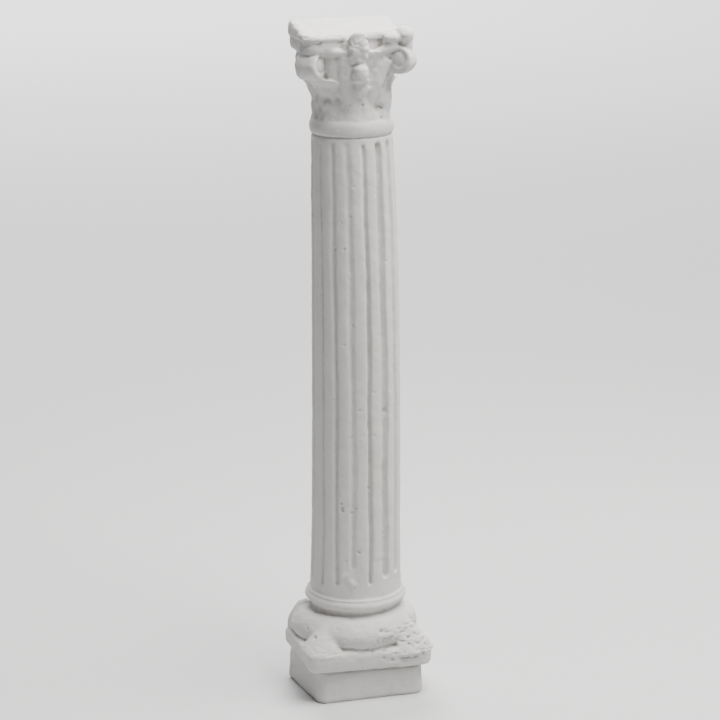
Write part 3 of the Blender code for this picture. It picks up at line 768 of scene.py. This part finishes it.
# %% Plane cuts
def cut_flat(thing, place, facing):
    """Cuts off what lies beyond a plane and closes the cut."""
    form = bmesh.new()
    form.from_mesh(thing.data)
    everything = form.verts[:] + form.edges[:] + form.faces[:]
    cut = bmesh.ops.bisect_plane(form, geom=everything, plane_co=[c * mm for c in place],
                                 plane_no=facing, clear_outer=True)
    rim = [e for e in cut["geom_cut"] if isinstance(e, bmesh.types.BMEdge)]
    bmesh.ops.holes_fill(form, edges=rim, sides=0)
    bmesh.ops.triangulate(form, faces=[f for f in form.faces if len(f.verts) > 4])
    form.to_mesh(thing.data)
    form.free()


cut_flat(column, (0, WALL, 0), (0, 1, 0))
cut_flat(column, (0, 0, 0), (0, 0, -1))
print("cut skin:", len(column.data.vertices), "points")

# %% [markdown]
# ## Thinning the mesh
# Flat stretches need few triangles and carving needs many. Collapsing edges by their cost keeps
# the detail and brings the piece under its limit.

# %% Fewer triangles
TRIANGLE_LIMIT = 180000


def thin(thing, limit):
    """Collapses edges until a number of triangles is left; returns how many there were."""
    count = sum(len(p.vertices) - 2 for p in thing.data.polygons)
    if count > limit:
        step = thing.modifiers.new("thin", "DECIMATE")
        step.ratio = limit / count
        thing.data = evaluated_mesh(thing)
        thing.modifiers.clear()
    return count


before = thin(column, TRIANGLE_LIMIT)
column.data.shade_smooth()
print("triangles:", before, "to", sum(len(p.vertices) - 2 for p in column.data.polygons))

# %% [markdown]
# ## A mask of hollows
# The material paints shade into the hollows, where less light reaches. How hollow the skin is at each point
# is measured against a smoothed copy, and stored as an attribute that the material reads.

# %% Hollow mask
HOLLOW_FULL = 0.22  # millimetres below the smoothed skin that count as fully hollow


def hollow_depth(thing, steps):
    """How far each point lies below the smoothed skin, in millimetres."""
    soft = thing.modifiers.new("soft", "SMOOTH")
    soft.iterations = steps
    soft.factor = 0.5
    smooth = evaluated_mesh(thing)
    thing.modifiers.clear()
    flat = np.empty(len(smooth.vertices) * 3)
    smooth.vertices.foreach_get("co", flat)
    bpy.data.meshes.remove(smooth)
    sharp, facing = read_points(thing)
    return ((flat.reshape(-1, 3) / mm - sharp) * facing).sum(1)


hollow = np.clip(hollow_depth(column, 40) / HOLLOW_FULL, -1, 1)
layer = column.data.attributes.new("hollow", "FLOAT", "POINT")
layer.data.foreach_set("value", (0.5 + 0.5 * hollow).astype(np.float32))
print("hollow mask from", round(float(hollow.min()), 2), "to", round(float(hollow.max()), 2))

# %% [markdown]
# ## Plaster
# Bare plaster is a dull, slightly rough white. Close up it has faint clouds, a fine grain and tiny
# pores, and painted shade makes its hollows darker and warmer. Each effect is a node group that gives out a
# mask or a height, and the shader stays in the material, where its own sockets are set.

# %% Shader groups
def new_group(name, inputs, outputs):
    """Empty node group with float inputs and named outputs."""
    group = bpy.data.node_groups.new(name, "ShaderNodeTree")
    for label, value in inputs:
        socket = group.interface.new_socket(name=label, in_out="INPUT", socket_type="NodeSocketFloat")
        socket.default_value = value
    for label, kind in outputs:
        group.interface.new_socket(name=label, in_out="OUTPUT", socket_type=kind)
    return group, group.nodes.new("NodeGroupInput"), group.nodes.new("NodeGroupOutput")


def plaster_clouds():
    """Faint clouds of tone: a mask around one half."""
    group, given, result = new_group("plaster_clouds", [("Size", 120.0), ("Strength", 1.0)],
                                     [("Mask", "NodeSocketFloat")])
    where = group.nodes.new("ShaderNodeTexCoord")
    cloud = group.nodes.new("ShaderNodeTexNoise")
    cloud.inputs["Detail"].default_value = 5
    cloud.inputs["Roughness"].default_value = 0.6
    scaled = group.nodes.new("ShaderNodeMath")
    scaled.operation = "MULTIPLY_ADD"
    scaled.inputs[2].default_value = 0.0
    group.links.new(where.outputs["Object"], cloud.inputs["Vector"])
    group.links.new(given.outputs["Size"], cloud.inputs["Scale"])
    group.links.new(cloud.outputs["Fac"], scaled.inputs[0])
    group.links.new(given.outputs["Strength"], scaled.inputs[1])
    group.links.new(scaled.outputs[0], result.inputs["Mask"])
    return group


def plaster_grain():
    """Height of the grain and of pores too small to model."""
    group, given, result = new_group("plaster_grain",
                                     [("Grain", 2600.0), ("Pores", 1300.0), ("Pore depth", 0.8)],
                                     [("Height", "NodeSocketFloat")])
    where = group.nodes.new("ShaderNodeTexCoord")
    grain = group.nodes.new("ShaderNodeTexNoise")
    grain.inputs["Detail"].default_value = 4
    pores = group.nodes.new("ShaderNodeTexVoronoi")
    holes = group.nodes.new("ShaderNodeMapRange")
    holes.inputs["From Min"].default_value = 0.10
    holes.inputs["From Max"].default_value = 0.22
    holes.inputs["To Min"].default_value = 1.0
    holes.inputs["To Max"].default_value = 0.0
    depth = group.nodes.new("ShaderNodeMath")
    depth.operation = "MULTIPLY"
    height_out = group.nodes.new("ShaderNodeMath")
    height_out.operation = "SUBTRACT"
    group.links.new(where.outputs["Object"], grain.inputs["Vector"])
    group.links.new(where.outputs["Object"], pores.inputs["Vector"])
    group.links.new(given.outputs["Grain"], grain.inputs["Scale"])
    group.links.new(given.outputs["Pores"], pores.inputs["Scale"])
    group.links.new(pores.outputs["Distance"], holes.inputs["Value"])
    group.links.new(holes.outputs["Result"], depth.inputs[0])
    group.links.new(given.outputs["Pore depth"], depth.inputs[1])
    group.links.new(grain.outputs["Fac"], height_out.inputs[0])
    group.links.new(depth.outputs[0], height_out.inputs[1])
    group.links.new(height_out.outputs[0], result.inputs["Height"])
    return group


clouds_group = plaster_clouds()
grain_group = plaster_grain()
print("groups:", clouds_group.name, grain_group.name)

# %% The plaster material
PLASTER_LIGHT = (0.60, 0.585, 0.575, 1.0)
PLASTER_DULL = (0.52, 0.505, 0.50, 1.0)
# painted shade: the darker, warmer colour laid into hollows, where less light reaches
PAINTED_HOLLOW_SHADE = (0.33, 0.32, 0.26, 1.0)


def mix_colours(tree, mask, first, second):
    """Blend of two colours, each a socket or a fixed value."""
    mix = tree.nodes.new("ShaderNodeMix")
    mix.data_type = "RGBA"
    for place, value in ((6, first), (7, second)):
        if isinstance(value, tuple):
            mix.inputs[place].default_value = value
        else:
            tree.links.new(value, mix.inputs[place])
    tree.links.new(mask, mix.inputs[0])
    return mix.outputs[2]


def plaster():
    """White plaster: clouds, painted shade in the hollows, grain and pores."""
    material = bpy.data.materials.new("white_plaster")
    material.use_nodes = True
    tree = material.node_tree
    shader = tree.nodes["Principled BSDF"]
    shader.inputs["Specular IOR Level"].default_value = 0.25
    clouds = tree.nodes.new("ShaderNodeGroup")
    clouds.node_tree = clouds_group
    grain = tree.nodes.new("ShaderNodeGroup")
    grain.node_tree = grain_group
    hollow_read = tree.nodes.new("ShaderNodeAttribute")
    hollow_read.attribute_name = "hollow"
    # how much painted shade each point gets, from how hollow it is
    painted_shade_amount = tree.nodes.new("ShaderNodeMapRange")
    painted_shade_amount.inputs["From Min"].default_value = 0.58
    painted_shade_amount.inputs["From Max"].default_value = 1.0
    painted_shade_amount.inputs["To Max"].default_value = 0.6
    body = mix_colours(tree, clouds.outputs["Mask"], PLASTER_LIGHT, PLASTER_DULL)
    tree.links.new(hollow_read.outputs["Fac"], painted_shade_amount.inputs["Value"])
    # the plaster colour with painted shade mixed into the hollows
    shaded_colour = mix_colours(tree, painted_shade_amount.outputs["Result"], body, PAINTED_HOLLOW_SHADE)
    tree.links.new(shaded_colour, shader.inputs["Base Color"])
    rough_range = tree.nodes.new("ShaderNodeMapRange")
    rough_range.inputs["To Min"].default_value = 0.78
    rough_range.inputs["To Max"].default_value = 0.92
    tree.links.new(clouds.outputs["Mask"], rough_range.inputs["Value"])
    tree.links.new(rough_range.outputs["Result"], shader.inputs["Roughness"])
    bump = tree.nodes.new("ShaderNodeBump")
    bump.inputs["Strength"].default_value = 0.35
    bump.inputs["Distance"].default_value = 0.00012
    tree.links.new(grain.outputs["Height"], bump.inputs["Height"])
    tree.links.new(bump.outputs["Normal"], shader.inputs["Normal"])
    return material


column.data.materials.clear()
column.data.materials.append(plaster())
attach(column, "root")
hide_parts("half_column")
print("material:", column.data.materials[0].name)

# %% [markdown]
# ## Floor, light and camera
# The piece was photographed against white, from its left front and a little above, under soft
# light from overhead and somewhat to the right. A pale sheet that curves up far behind, one large
# lamp, a second one for the sheet and an even fill do the same. The camera stands half a metre off
# with a long lens.

# %% Floor and lights
def floor():
    """Pale sheet that curves up far behind."""
    rows = [(-1.2, 0.0), (3.2, 0.0), (3.6, 0.06), (3.8, 0.3), (3.85, 1.4)]
    form = bmesh.new()
    lines = [[form.verts.new((x, y, z)) for x in (-2.0, 2.0)] for y, z in rows]
    for a, b in zip(lines, lines[1:]):
        form.faces.new((a[0], a[1], b[1], b[0]))
    mesh = bpy.data.meshes.new("floor")
    form.to_mesh(mesh)
    form.free()
    thing = bpy.data.objects.new("floor", mesh)
    bpy.context.collection.objects.link(thing)
    material = bpy.data.materials.new("floor_paper")
    material.use_nodes = True
    shader = material.node_tree.nodes["Principled BSDF"]
    shader.inputs["Base Color"].default_value = (0.55, 0.55, 0.55, 1)
    shader.inputs["Roughness"].default_value = 0.9
    mesh.materials.append(material)


def lamp(name, place, aim, size, power, colour=(1, 1, 1)):
    """Square soft lamp that points at a place."""
    light = bpy.data.lights.new(name, "AREA")
    light.size = size
    light.energy = power
    light.color = colour
    thing = bpy.data.objects.new(name, light)
    thing.location = place
    thing.rotation_euler = (Vector(aim) - Vector(place)).to_track_quat("-Z", "Y").to_euler()
    bpy.context.collection.objects.link(thing)


KEY_WATTS = 5.3
KEY_WARMTH = (1.0, 0.985, 0.96)
BACKDROP_WATTS = 150.0
FILL_STRENGTH = 0.15
floor()
lamp("key", (0.12, -0.085, 0.44), (0, 0, 0.10), 0.28, KEY_WATTS, KEY_WARMTH)
lamp("backdrop", (0.2, 1.9, 1.6), (0.2, 1.9, 0.0), 1.6, BACKDROP_WATTS)
world = bpy.data.worlds.new("studio")
world.use_nodes = True
world.node_tree.nodes["Background"].inputs["Color"].default_value = (1, 1, 1, 1)
world.node_tree.nodes["Background"].inputs["Strength"].default_value = FILL_STRENGTH
bpy.context.scene.world = world
print("lights set")

# %% Camera
CAMERA_TURN = radians(-16)
CAMERA_AWAY = 530.5
CAMERA_HEIGHT = 224.3
CAMERA_PITCH = radians(14.715)
CAMERA_PAN = radians(0.128)
camera_data = bpy.data.cameras.new("camera")
camera_data.sensor_width = 36
camera_data.lens = 109.75
camera_data.clip_start = 0.05
camera = bpy.data.objects.new("camera", camera_data)
camera.location = (CAMERA_AWAY * sin(CAMERA_TURN) * mm, -CAMERA_AWAY * cos(CAMERA_TURN) * mm,
                   CAMERA_HEIGHT * mm)
camera.rotation_euler = (pi / 2 - CAMERA_PITCH, 0, CAMERA_TURN - CAMERA_PAN)
bpy.context.collection.objects.link(camera)
bpy.context.scene.camera = camera
print("camera", round(CAMERA_AWAY * mm, 3), "m away")
